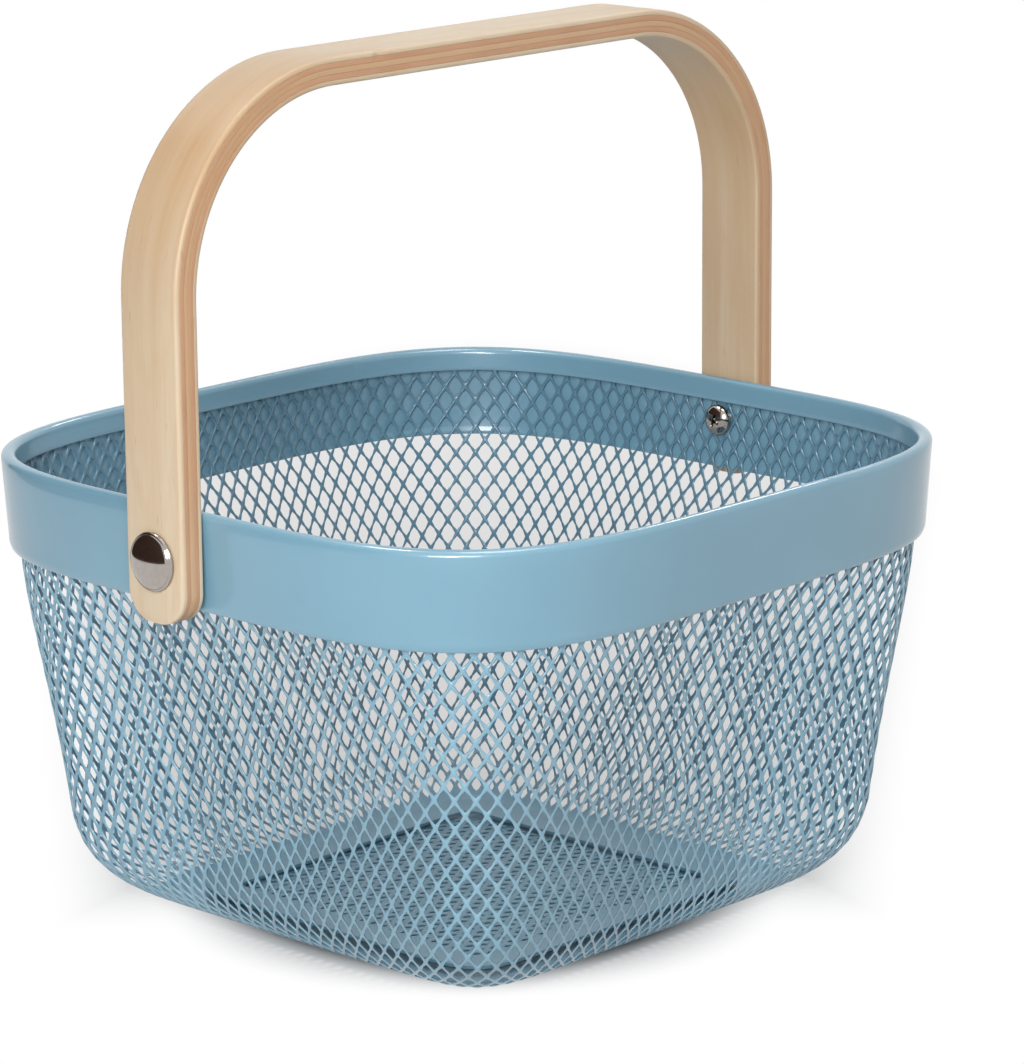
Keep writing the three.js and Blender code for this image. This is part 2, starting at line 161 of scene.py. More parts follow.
def ring(inset, height, count, squareness=None, corner_stretch=0.0):
    """Points round the basket, starting at +X, as an array of count by 3.

    They are evenly spaced, unless the corners are stretched: there the spacing grows by that share."""
    power = squareness or squareness_at(height)
    half_x = RIM_HALF_X - inset
    half_y = RIM_HALF_Y - inset * NARROWING
    turn = np.linspace(0, 2 * np.pi, FINE_STEPS * count + 1)
    across, along = np.cos(turn), np.sin(turn)
    reach = (np.abs(across / half_x) ** power + np.abs(along / half_y) ** power) ** (-1 / power)
    x, y = reach * across, reach * along
    cornering = np.minimum(np.abs(x / half_x), np.abs(y / half_y))[1:] ** 2
    steps = np.hypot(np.diff(x), np.diff(y)) / (1 + corner_stretch * cornering)
    walked = np.concatenate([[0], np.cumsum(steps)])
    stops = np.arange(count) / count * walked[-1]
    even_x = np.interp(stops, walked, x)
    even_y = np.interp(stops, walked, y)
    return np.column_stack([even_x, even_y, np.full(count, height)])


rim_steps = np.diff(ring(0, RIM_TOP, 512), axis=0)
print("way round the rim:", round(np.linalg.norm(rim_steps, axis=1).sum() / MM), "mm")

# %% [markdown]
# ## From points to a piece
# Every piece goes through the same last step: a list of corners and faces becomes a mesh, its faces are
# made to point outwards, soft edges are shaded smooth and sharp ones kept, and the piece is tied to the
# body that carries it. Doing this once keeps the later cells short.

# %% Make a piece from corners and faces
SHARP_EDGE = math.radians(48)


def loose_object(name, corners, faces):
    """An object in the scene that isn't a piece of the basket yet."""
    mesh = bpy.data.meshes.new(name)
    mesh.from_pydata([tuple(corner) for corner in corners], [], faces)
    made = bpy.data.objects.new(name, mesh)
    bpy.context.scene.collection.objects.link(made)
    return made


def face_outwards(mesh):
    """Turns every face outwards, and counts the edges that don't join two faces."""
    shape = bmesh.new()
    shape.from_mesh(mesh)
    bmesh.ops.recalc_face_normals(shape, faces=shape.faces)
    open_edges = sum(len(edge.link_faces) != 2 for edge in shape.edges)
    shape.to_mesh(mesh)
    shape.free()
    return open_edges


def make_piece(name, corners, faces, material, node, sharp=SHARP_EDGE):
    piece = loose_object(name, corners, faces)
    mesh = piece.data
    open_edges = face_outwards(mesh)
    mesh.shade_smooth()
    mesh.set_sharp_from_angle(angle=sharp)
    mesh.materials.append(material)
    body = next(b for b, nodes in frame["record"]["behaviour"]["bodies"].items() if node in nodes)
    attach(piece, body)
    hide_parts(node)
    print(f"{name}: {len(mesh.vertices)} corners, {len(mesh.polygons)} faces, {open_edges} open edges")
    return piece


# %% [markdown]
# ## Shader sums as plain Python
# A material is a net of nodes, and the maths in it is easier to read as an expression than as a list of
# links. The class below holds one output socket. Adding to it, taking away or multiplying puts the right
# Math node in the tree. Every other node comes from one method of the bench that holds the tree.

# %% A socket that can be reckoned with
class Wire:
    """One output of a node. Arithmetic on it adds Math nodes to the same tree."""

    def __init__(self, bench, socket):
        self.bench = bench
        self.socket = socket

    def maths(self, operation, first, second):
        return self.bench.node("ShaderNodeMath", {"operation": operation}, {0: first, 1: second})

    def __add__(self, other):
        return self.maths("ADD", self, other)

    def __radd__(self, other):
        return self.maths("ADD", other, self)

    def __sub__(self, other):
        return self.maths("SUBTRACT", self, other)

    def __rsub__(self, other):
        return self.maths("SUBTRACT", other, self)

    def __mul__(self, other):
        return self.maths("MULTIPLY", self, other)

    def __rmul__(self, other):
        return self.maths("MULTIPLY", other, self)

    def sine(self):
        return self.bench.node("ShaderNodeMath", {"operation": "SINE"}, {0: self})

    def size(self):
        return self.bench.node("ShaderNodeMath", {"operation": "ABSOLUTE"}, {0: self})

    def or_more(self, other):
        return self.maths("MAXIMUM", self, other)


# %% The bench on which a node tree is built
class Bench:
    """The node tree of a material or of the world, emptied and ready to be built."""

    def __init__(self, owner):
        self.owner = owner
        owner.use_nodes = True
        self.tree = owner.node_tree
        self.tree.nodes.clear()

    def node(self, kind, settings=None, sockets=None, output=0):
        """Adds a node, sets it, feeds its sockets and gives back one of its outputs."""
        made = self.tree.nodes.new(kind)
        for key, value in (settings or {}).items():
            if key == "stops":
                self.set_stops(made.color_ramp, value)
            else:
                setattr(made, key, value)
        for key, value in (sockets or {}).items():
            if isinstance(value, Wire):
                self.tree.links.new(value.socket, made.inputs[key])
            else:
                made.inputs[key].default_value = value
        return Wire(self, made.outputs[output]) if made.outputs else None

    @staticmethod
    def set_stops(ramp, stops):
        while len(ramp.elements) > len(stops):
            ramp.elements.remove(ramp.elements[-1])
        while len(ramp.elements) < len(stops):
            ramp.elements.new(1)
        for element, (place, level) in zip(ramp.elements, stops):
            element.position = place
            element.color = (level, level, level, 1)

    def surface(self, **sockets):
        """Ends a material in a Principled shader. Socket names are written with _ for a space."""
        named = {key.replace("_", " "): value for key, value in sockets.items()}
        shader = self.node("ShaderNodeBsdfPrincipled", {}, named)
        self.node("ShaderNodeOutputMaterial", {}, {"Surface": shader})
        return self.owner


def material_bench(name):
    return Bench(bpy.data.materials.new(name))


# %% [markdown]
# ## Patterns that several finishes use
# Paint, wood and metal all vary a little over their surface. Noise gives that variation, a ramp picks the
# part of it that shows, and a bump turns it into relief. Colours are written as a screen shows them, 0 to
# 255, and turned into the linear values that a shader needs.

# %% Small helpers for patterns
def screen_colour(red, green, blue):
    share = np.array([red, green, blue]) / 255
    linear = np.where(share <= 0.04045, share / 12.92, ((share + 0.055) / 1.055) ** 2.4)
    return (*[float(x) for x in linear], 1)


def mixed(bench, share, first, second):
    settings = {"data_type": "RGBA", "blend_type": "MIX"}
    return bench.node("ShaderNodeMix", settings, {0: share, 6: first, 7: second}, 2)


def vector_maths(bench, operation, first, second=(0, 0, 0), output="Vector"):
    return bench.node("ShaderNodeVectorMath", {"operation": operation}, {0: first, 1: second}, output)


def stretched(bench, place, per_metre):
    return vector_maths(bench, "MULTIPLY", place, per_metre)


def noise(bench, place, scale=1.0, detail=2.0, roughness=0.5):
    sockets = {"Vector": place, "Scale": scale, "Detail": detail, "Roughness": roughness}
    return bench.node("ShaderNodeTexNoise", {}, sockets)


def ramp(bench, value, *stops):
    return bench.node("ShaderNodeValToRGB", {"stops": stops}, {"Fac": value})


def bump(bench, height, distance, strength=1.0):
    return bench.node("ShaderNodeBump", {}, {"Height": height, "Distance": distance, "Strength": strength})


def object_place(bench):
    return bench.node("ShaderNodeTexCoord", {}, {}, "Object")


def geometry(bench, kind):
    return bench.node("ShaderNodeNewGeometry", {}, {}, kind)


print("mid grey on a screen is", round(screen_colour(128, 128, 128)[0], 3), "in a shader")

# %% [markdown]
# ## Paint
# The steel is powder coated: a grey-blue layer that flows out almost smooth, with a faint skin like the
# peel of an orange, and a clear gloss on top. A plain colour with one roughness would look like plastic,
# so the tone drifts slowly over the surface, the gloss varies, and a fine bump breaks up the reflections.
# The mesh has the same paint, less glossy, and the base is almost matt. The base's colours are written
# darker than the band's, as painted shade on the floor of the basket. Faces of the band and the mesh that
# turn towards the basket's axis are painted darker, as painted shade for the inside of the basket.

# %% Paint for the band and the mesh
BAND_COLOUR = screen_colour(121, 163, 183)
BAND_DEEPER = screen_colour(115, 157, 177)
# The inner colours are painted shade on faces turned towards the basket's axis.
BAND_SHADED_INNER = screen_colour(113, 154, 174)
MESH_COLOUR = screen_colour(134, 174, 193)
MESH_DEEPER = screen_colour(122, 163, 183)
MESH_SHADED_INNER = screen_colour(90, 128, 148)
# The base colours are a darker copy of the coat: painted shade on the floor of the basket.
BASE_SHADED_COLOUR = screen_colour(100, 138, 157)
BASE_SHADED_DEEPER = screen_colour(91, 129, 148)
PEEL_DEPTH = 0.02 * MM


def inner_shade_mask(bench):
    """1 on surfaces that face away from the basket's axis, 0 on those that face it: it picks the painted shade of
    the inner side.
    """
    from_axis = stretched(bench, geometry(bench, "Position"), (1, 1, 0))
    level = vector_maths(bench, "NORMALIZE", from_axis)
    facing = vector_maths(bench, "DOT_PRODUCT", geometry(bench, "Normal"), level, "Value")
    return ramp(bench, facing * 0.5 + 0.5, (0.3, 0), (0.62, 1))


def powder_coat(name, colour, deeper, inner, gloss):
    bench = material_bench(name)
    place = object_place(bench)
    drift = ramp(bench, noise(bench, place, scale=22, detail=3), (0.35, 0), (0.68, 1))
    specks = ramp(bench, noise(bench, place, scale=2600), (0.62, 0), (0.8, 1))
    peel = noise(bench, place, scale=950, roughness=0.4)
    skin = noise(bench, place, scale=4200, detail=1)
    # The inner colour is painted shade on faces turned towards the basket's axis.
    tone = mixed(bench, inner_shade_mask(bench), inner, mixed(bench, drift, deeper, colour))
    return bench.surface(
        Base_Color=mixed(bench, specks * 0.12, tone, deeper),
        Roughness=0.34 - gloss * 0.1 + drift * 0.05 + specks * 0.05,
        IOR=1.5,
        Coat_Weight=gloss,
        Coat_Roughness=0.05,
        Normal=bump(bench, peel * 0.8 + skin * 0.2, PEEL_DEPTH, 0.3),
    )


band_paint = powder_coat("band_paint", BAND_COLOUR, BAND_DEEPER, BAND_SHADED_INNER, gloss=0.6)
mesh_paint = powder_coat("mesh_paint", MESH_COLOUR, MESH_DEEPER, MESH_SHADED_INNER, gloss=0.3)
# The base paint is darker than the band's as painted shade on the basket's floor.
base_paint = powder_coat("base_paint", BASE_SHADED_COLOUR, BASE_SHADED_DEEPER, BASE_SHADED_DEEPER, gloss=0.05)
print("paints:", band_paint.name, mesh_paint.name, base_paint.name)

# %% [markdown]
# ## The rim band
# The band is one sheet. Its lower edge tucks in towards the mesh, the sheet rises almost straight, and at
# the top it folds over in a round crest and hangs down inside as a plain hem. It could be a solidified
# strip, but then the crest would be as sharp as the modifier leaves it. Here the whole section is drawn
# once, as a closed line, and carried round the outline.

# %% Carry a section round the basket
BAND_STATIONS = 320


def swept_ring(name, section, material, node, squareness=lambda inset: None):
    rings = [ring(inset, height, BAND_STATIONS, squareness(inset)) for inset, height in section]
    corners = np.concatenate(rings)
    faces = []
    for j in range(len(section)):
        here, above = j * BAND_STATIONS, (j + 1) % len(section) * BAND_STATIONS
        for i in range(BAND_STATIONS):
            after = (i + 1) % BAND_STATIONS
            faces.append((here + i, here + after, above + after, above + i))
    return make_piece(name, corners, faces, material, node)


def arc(centre, radius, start, end, steps):
    """Points on an arc, as (inset, height). Angles are in degrees, 0 inwards and 90 up."""
    turn = np.radians(np.linspace(start, end, steps + 1))
    return [(centre[0] + radius * math.cos(t), centre[1] + radius * math.sin(t)) for t in turn]


# %% Draw and carry the band's section
def taper_at(height):
    return BAND_TAPER * (FOLD_HEIGHT - height) / (FOLD_HEIGHT - TUCK_TOP)


def rising(start, end, steps, bow=0.0):
    """Points between two places, leaving both out, bowed by a share of the way."""
    shares = [k / steps for k in range(1, steps)]
    return [(start[0] + (end[0] - start[0]) * t - bow * 4 * t * (1 - t), start[1] + (end[1] - start[1]) * t)
            for t in shares]


edge_radius = BAND_SHEET / 2
hem_middle = 2 * FOLD_RADIUS + taper_at(HEM_FOOT) - edge_radius
tuck_out = (BAND_TAPER + EDGE_TUCK, BAND_FOOT + edge_radius)
tuck_in = (BAND_TAPER + EDGE_TUCK + BAND_SHEET, BAND_FOOT + edge_radius)
crest = (FOLD_RADIUS, FOLD_HEIGHT)
TUCK_BOW = 0.12 * MM
band_section = [
    *arc((BAND_TAPER + EDGE_TUCK + edge_radius, BAND_FOOT + edge_radius), edge_radius, 0, -180, 4),
    *rising(tuck_out, (BAND_TAPER, TUCK_TOP), 4, TUCK_BOW),
    (BAND_TAPER, TUCK_TOP),
    *rising((BAND_TAPER, TUCK_TOP), (0, FOLD_HEIGHT), 5),
    *arc(crest, FOLD_RADIUS, 180, 0, 14),
    *rising((2 * FOLD_RADIUS, FOLD_HEIGHT), (hem_middle + edge_radius, HEM_FOOT + edge_radius), 4),
    *arc((hem_middle, HEM_FOOT + edge_radius), edge_radius, 0, -180, 6),
    *arc(crest, FOLD_RADIUS - BAND_SHEET, 0, 180, 8),
    (BAND_TAPER + BAND_SHEET, TUCK_TOP),
    *rising((BAND_TAPER + BAND_SHEET, TUCK_TOP), tuck_in, 3),
]
swept_ring("rim_band_sheet", band_section, band_paint, "rim_band")

# %% [markdown]
# ## The line of the wall
# Below the band the wall bows inwards, and near the foot it turns in a wide bend to the base. The line is
# followed by its length, so that rows of mesh keep their height round the bend. It starts under the hem,
# because the mesh shows against the inside of the band.

# %% Follow the wall's section by its length
MESH_TOP = HEM_FOOT + 3 * MM
ROW_PITCH = 3.95 * MM
MESH_THICKNESS = 0.36 * MM
MESH_DEPTH = 0.42 * MM


def mesh_inset_at(height):
    return taper_at(height) + BAND_SHEET + SEAT_GAP


def parabola(start, control, end, steps=200):
    t = np.linspace(0, 1, steps + 1)[:, None]
    return (1 - t) ** 2 * np.array(start) + 2 * t * (1 - t) * np.array(control) + t ** 2 * np.array(end)


bow_start = np.array([mesh_inset_at(TUCK_TOP), TUCK_TOP])
wall_foot = np.array([WALL_FOOT_INSET, WALL_FOOT_HEIGHT])
bow_control = (bow_start + wall_foot) / 2 + np.array([2 * WALL_BOW, 0])
foot_slope = (wall_foot[0] - bow_control[0]) / (bow_control[1] - wall_foot[1])
bend_control = np.array([wall_foot[0] + foot_slope * wall_foot[1], 0])
base_edge = np.array([BASE_INSET, 0])
wall_line = np.concatenate([
    [(mesh_inset_at(MESH_TOP), MESH_TOP)],
    parabola(bow_start, bow_control, wall_foot),
    parabola(wall_foot, bend_control, base_edge)[1:],
])
wall_walked = np.concatenate([[0], np.cumsum(np.linalg.norm(np.diff(wall_line, axis=0), axis=1))])
print("wall section:", round(wall_walked[-1] / MM, 1), "mm long")


def beside_wall(walked, distance):
    """The place at a length along the wall, moved inwards from its outer face by a distance."""
    at = [np.interp(walked, wall_walked, wall_line[:, k]) for k in (0, 1)]
    step = 0.5 * MM
    ahead = [np.interp(walked + step, wall_walked, wall_line[:, k]) for k in (0, 1)]
    behind = [np.interp(walked - step, wall_walked, wall_line[:, k]) for k in (0, 1)]
    along = np.array(ahead) - np.array(behind)
    along /= np.linalg.norm(along)
    return at[0] - along[1] * distance, at[1] + along[0] * distance


# %% [markdown]
# ## Expanded metal
# The mesh is slit sheet that has been pulled open and rolled flat: diamonds taller than wide, joined in
# one piece. A wireframe modifier or crossing tubes would give round wires with no joints. Here each
# diamond is a cell of a lattice: the sheet round a rounded opening, on both faces, with the opening's
# walls between. Cells share their corners, so the whole wall is one closed body. Towards the foot the
# sheet was pulled less, so the strands get wider there, and the last rows are left whole.

# %% Cells of a lattice
MESH_COLUMNS = 130
STRAND_WIDTH = 0.5 * MM
FOOT_STRAND = 0.66 * MM
CORNER_ROUNDING = 0.12
CORNER_STRETCH = 0.14
MESH_EDGE = math.radians(100)
PLAIN_FOOT = 2.6 * MM
FOOT_ROWS_TOP = 15 * MM


def opening_points(outline, centre, width, rounding):
    """The rounded opening in a diamond, whose outline has its corners and the middles of its sides."""
    half_tall = np.linalg.norm(outline[:, 0] - outline[:, 4], axis=1) / 2
    half_wide = np.linalg.norm(outline[:, 2] - outline[:, 6], axis=1) / 2
    reach = half_tall * half_wide / np.hypot(half_tall, half_wide)
    share = 1 - width / 2 / reach
    shares = np.repeat(share[:, None], 8, axis=1)
    shares[:, ::2] -= rounding
    return centre[:, None] + (outline - centre[:, None]) * shares[..., None]


def cell_outline(grid, row, column):
    """Corners and side middles of each diamond, anticlockwise from its top: cells by 8 by 3."""
    count = grid.shape[1]
    left, right = (column - 1) % count, (column + 1) % count
    top, bottom = grid[row - 1, column], grid[row + 1, column]
    west, east = grid[row, left], grid[row, right]
    ends = [top, west, bottom, east]
    points = []
    for k in range(4):
        points += [ends[k], (ends[k] + ends[(k + 1) % 4]) / 2]
    return np.stack(points, axis=1)


def sheet_sides(outline, opening):
    """The sheet between a diamond and its opening: one five-sided face along each side of the diamond."""
    sides = []
    for k in range(0, 8, 2):
        n = (k + 2) % 8
        points = [outline[:, k], outline[:, n], opening[:, n], opening[:, k + 1], opening[:, k]]
        sides.append(np.stack(points, axis=1))
    return np.concatenate(sides)


def opening_walls(outer_hole, inner_hole):
    walls = []
    for k in range(8):
        n = (k + 1) % 8
        points = [outer_hole[:, k], outer_hole[:, n], inner_hole[:, n], inner_hole[:, k]]
        walls.append(np.stack(points, axis=1))
    return np.concatenate(walls)


def joined(*groups):
    """Corners and faces from groups of loose polygons, with corners at one place shared."""
    points = np.concatenate([group.reshape(-1, 3) for group in groups])
    corners, index = np.unique(np.round(points, 8), axis=0, return_inverse=True)
    faces, start = [], 0
    for group in groups:
        count = group.shape[0] * group.shape[1]
        faces += index.ravel()[start:start + count].reshape(-1, group.shape[1]).tolist()
        start += count
    kept = [tuple(dict.fromkeys(face)) for face in faces]
    return corners, [face for face in kept if len(face) > 2]


# %% Weave the wall
rows = round(wall_walked[-1] / ROW_PITCH)
stations = 2 * MESH_COLUMNS


def sheet_face(distance):
    places = [beside_wall(wall_walked[-1] * j / rows, distance) for j in range(rows + 1)]
    return np.array([ring(*place, stations, corner_stretch=CORNER_STRETCH) for place in places])


outer_grid, inner_grid = sheet_face(MESH_DEPTH), sheet_face(MESH_DEPTH + MESH_THICKNESS)
lattice = np.array([(j, i) for j in range(1, rows) for i in range((j + 1) % 2, stations, 2)])
is_plain = outer_grid[lattice[:, 0], 0, 2] < PLAIN_FOOT
plain_row, plain_column = lattice[is_plain].T
cell_row, cell_column = lattice[~is_plain].T
outer_cells = cell_outline(outer_grid, cell_row, cell_column)
inner_cells = cell_outline(inner_grid, cell_row, cell_column)
row_height = outer_grid[cell_row, 0, 2]
strand = np.interp(row_height, [PLAIN_FOOT, FOOT_ROWS_TOP], [FOOT_STRAND, STRAND_WIDTH])
outer_holes = opening_points(outer_cells, outer_grid[cell_row, cell_column], strand, CORNER_ROUNDING)
inner_holes = opening_points(inner_cells, inner_grid[cell_row, cell_column], strand, CORNER_ROUNDING)
print("openings in the wall:", len(cell_row))

# %% Close the wall's two edges and turn in its flange
flange_rings = [ring(BASE_INSET + FLANGE_WIDTH, height, stations, corner_stretch=CORNER_STRETCH)
                for height in (MESH_DEPTH, MESH_DEPTH + MESH_THICKNESS)]


def half_cells(grid, row, toward, parity):
    """The half diamonds along an edge of the lattice, left whole."""
    tips = np.arange(parity, stations, 2)
    left, right = (tips - 1) % stations, (tips + 1) % stations
    return np.stack([grid[row, left], grid[row + toward, tips], grid[row, right]], axis=1)


def strip(upper, lower, parity):
    here = np.arange(1 - parity, stations, 2)
    after = (here + 2) % stations
    return np.stack([upper[here], lower[here], lower[after], upper[after]], axis=1)


last_parity = (rows + 1) % 2
wall_corners, wall_faces = joined(
    sheet_sides(outer_cells, outer_holes),
    sheet_sides(inner_cells, inner_holes),
    opening_walls(outer_holes, inner_holes),
    cell_outline(outer_grid, plain_row, plain_column)[:, ::2],
    cell_outline(inner_grid, plain_row, plain_column)[:, ::2],
    half_cells(outer_grid, 0, 1, 1),
    half_cells(inner_grid, 0, 1, 1),
    half_cells(outer_grid, rows, -1, last_parity),
    half_cells(inner_grid, rows, -1, last_parity),
    strip(outer_grid[0], inner_grid[0], 1),
    strip(outer_grid[rows], flange_rings[0], last_parity),
    strip(inner_grid[rows], flange_rings[1], last_parity),
    strip(flange_rings[0], flange_rings[1], last_parity),
)
make_piece("wall_strands", wall_corners, wall_faces, mesh_paint, "wall_mesh", MESH_EDGE)

# %% [markdown]
# ## The base
# A plain border ring lies inside the foot and rises a little way up the bend. It holds a flat panel of
# expanded metal whose long slots run from pivot to pivot. The ring is drawn like the band, as a section
# carried round, and the panel is the same lattice as the wall, laid flat.

# %% Border ring of the base
RING_SHEET = 0.8 * MM
RING_LAP = 2.5 * MM
RING_RISE = 8 * MM
RING_OFFSET = 3 * MM
INNER_SQUARENESS = 26
BEND_STEPS = 10


def ring_face(distance):
    foot = wall_walked[-1]
    bend = [beside_wall(foot - RING_RISE * (1 - k / BEND_STEPS), distance) for k in range(BEND_STEPS)]
    lap = [(BASE_INSET + RING_LAP * share, distance) for share in (0, 0.6, 1)]
    return [*bend, *lap]


ring_section = [*ring_face(RING_OFFSET), *ring_face(RING_OFFSET + RING_SHEET)[::-1]]


def border_squareness(inset):
    """The border's outer edge follows the bend, and its inner edge is cut almost square."""
    share = np.clip((inset - BASE_INSET) / RING_LAP, 0, 1)
    return FOOT_SQUARENESS * (INNER_SQUARENESS / FOOT_SQUARENESS) ** share


swept_ring("base_border", ring_section, base_paint, "base_ring", border_squareness)

# %% Panel of expanded metal
SLOT_PITCH_X = 6.6 * MM
SLOT_PITCH_Y = 3.7 * MM
SLOT_STRAND = 1.35 * MM
SLOT_ROUNDING = 0.06
PANEL_SQUARENESS = 9
PANEL_THICKNESS = 0.6 * MM

columns_out = math.ceil(panel_high.x / (SLOT_PITCH_X / 2)) + 1
rows_out = math.ceil(panel_high.y / (SLOT_PITCH_Y / 2)) + 1


def panel_grid(height):
    x = np.arange(-columns_out, columns_out + 1) * SLOT_PITCH_X / 2
    y = np.arange(-rows_out, rows_out + 1) * SLOT_PITCH_Y / 2
    across, along = np.meshgrid(x, y, indexing="ij")
    reach = (np.abs(across / panel_high.x) ** PANEL_SQUARENESS
             + np.abs(along / panel_high.y) ** PANEL_SQUARENESS) ** (1 / PANEL_SQUARENESS)
    kept = 1 / np.maximum(reach, 1)
    return np.stack([across * kept, along * kept, np.full_like(across, height)], axis=2), reach


flat_grid, panel_reach = panel_grid(0)
panel_row, panel_column = np.array([
    (j, i) for j in range(1, 2 * columns_out) for i in range(1, 2 * rows_out)
    if (i + j) % 2 == (rows_out + columns_out + 1) % 2
]).T
toward_tips = ((-1, 0), (1, 0), (0, -1), (0, 1))
tips = np.stack([panel_reach[panel_row + a, panel_column + b] for a, b in toward_tips])
open_cells = tips.max(axis=0) < 1
plain_cells = (tips.min(axis=0) < 1) & ~open_cells
print("slots in the base:", int(open_cells.sum()))

# %% Give the panel its thickness
flat_cells = cell_outline(flat_grid, panel_row, panel_column)
flat_middles = flat_grid[panel_row[open_cells], panel_column[open_cells]]
slots = opening_points(flat_cells[open_cells], flat_middles, SLOT_STRAND, SLOT_ROUNDING)
slotted = sheet_sides(flat_cells[open_cells], slots)
flat_corners, flat_faces = joined(slotted, flat_cells[plain_cells][:, ::2])


def thickened(corners, faces, low, high):
    """A flat sheet's two faces, with walls along every edge that only one face uses."""
    count = len(corners)
    both = np.concatenate([corners + (0, 0, high), corners + (0, 0, low)])
    ways = {(a, b) for face in faces for a, b in zip(face, face[1:] + face[:1])}
    walls = [(b, a, a + count, b + count) for a, b in ways if (b, a) not in ways]
    return both, faces + [tuple(v + count for v in face[::-1]) for face in faces] + sorted(walls)


panel_top = panel_low.z + PANEL_THICKNESS
panel_corners, panel_faces = thickened(flat_corners, flat_faces, panel_low.z, panel_top)
make_piece("base_panel", panel_corners, panel_faces, base_paint, "base_mesh", MESH_EDGE)

# %% [markdown]
# ## The bent strip
# Each ply could be a bevelled curve, but its lower ends are rounded and its outer edges softened, which a
# curve can't do. So the arch is walked from foot to foot. At each station the ply's section is set square
# to the path, and near the feet it narrows to draw the rounded end.

# %% Walk the arch
strip_low, strip_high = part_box("handle_outer_veneer")
HANDLE_OUTSIDE = strip_high.x
HANDLE_TOP = strip_high.z
HANDLE_FOOT = strip_low.z
HALF_WIDTH = strip_high.y
BEND_RADIUS = 55 * MM
END_RADIUS = 8 * MM
PLY_THICKNESS = 1.36 * MM
GLUE_LINE = 0.1 * MM
GLUE_FILL = 0.07 * MM
END_STEPS = 12
LEG_STEPS = 12
TURN_STEPS = 36
TOP_STEPS = 6

bend_middle = (HANDLE_OUTSIDE - BEND_RADIUS, HANDLE_TOP - BEND_RADIUS)


def right_side():
    """Stations from the right foot to the top's middle: a place on the outer face, and the way out."""
    made = []
    for k in range(END_STEPS + 1):
        rise = END_RADIUS * (1 - math.cos(math.pi / 2 * k / END_STEPS))
        made.append(((HANDLE_OUTSIDE, HANDLE_FOOT + rise), (1, 0)))
    for k in range(1, LEG_STEPS):
        rise = END_RADIUS + (bend_middle[1] - HANDLE_FOOT - END_RADIUS) * k / LEG_STEPS
        made.append(((HANDLE_OUTSIDE, HANDLE_FOOT + rise), (1, 0)))
    for k in range(TURN_STEPS + 1):
        turn = math.pi / 2 * k / TURN_STEPS
        way = (math.cos(turn), math.sin(turn))
        place = (bend_middle[0] + BEND_RADIUS * way[0], bend_middle[1] + BEND_RADIUS * way[1])
        made.append((place, way))
    for k in range(1, TOP_STEPS + 1):
        made.append(((bend_middle[0] * (1 - k / TOP_STEPS), HANDLE_TOP), (0, 1)))
    return made


def arch():
    half = right_side()
    mirrored = [((-place[0], place[1]), (-way[0], way[1])) for place, way in half[-2::-1]]
    return half + mirrored


def end_narrowing(height):
    """How much of the strip's width is left this far above its end."""
    if height >= HANDLE_FOOT + END_RADIUS:
        return 1.0
    below = END_RADIUS - (height - HANDLE_FOOT)
    return (HALF_WIDTH - END_RADIUS + math.sqrt(max(END_RADIUS ** 2 - below ** 2, 0))) / HALF_WIDTH


path = arch()
LEG_LENGTH = bend_middle[1] - HANDLE_FOOT
BEND_LENGTH = BEND_RADIUS * math.pi / 2
STRIP_LENGTH = 2 * (LEG_LENGTH + BEND_LENGTH + bend_middle[0])
print("strip:", round(STRIP_LENGTH / MM, 1), "mm long,", len(path), "stations")


def strip_places(points):
    """How far along, across and deep in the strip each point lies."""
    out, across, up = np.abs(points[:, 0]), points[:, 1], points[:, 2]
    beyond = np.column_stack([np.maximum(out - bend_middle[0], 0), np.maximum(up - bend_middle[1], 0)])
    turn = np.arctan2(beyond[:, 1], beyond[:, 0])
    up_the_leg = np.minimum(up - HANDLE_FOOT, LEG_LENGTH)
    along = up_the_leg + BEND_RADIUS * turn + np.maximum(bend_middle[0] - out, 0)
    depth = BEND_RADIUS - np.hypot(beyond[:, 0], beyond[:, 1])
    along = np.where(points[:, 0] < 0, STRIP_LENGTH - along, along)
    return np.column_stack([along, across, depth])


# %% [markdown]
# ## The handle's wood
# The handle is five plies of birch, glued face to face and bent together. The faces show pale long grain
# with fine fibres, slow bands of tone and a few flecks, warmer where heat has bent the strip. On the
# edges the plies show as stripes, because every second one is turned and shows its darker end grain. The
# grain has to follow the bend, so each strip carries the length along it, the width across it and the
# depth as a coordinate of its own, and the patterns are stretched along the first of these.

# %% Birch finishes
PALE_BIRCH = screen_colour(216, 200, 175)
WARM_BIRCH = screen_colour(183, 145, 103)
FIBRE_BIRCH = screen_colour(200, 166, 128)
FLECK_BIRCH = screen_colour(170, 126, 86)
EDGE_BIRCH = screen_colour(196, 152, 118)
EDGE_BIRCH_DARK = screen_colour(180, 130, 94)
CORE_BIRCH = screen_colour(208, 170, 136)
FIBRE_DEPTH = 0.03 * MM
BEND_WARMTH = (
    (0, 0.45), (0.1, 0.5), (0.26, 0.8), (0.4, 0.12),
    (0.58, 0.16), (0.72, 0.95), (0.84, 0.35), (1, 0.1),
)


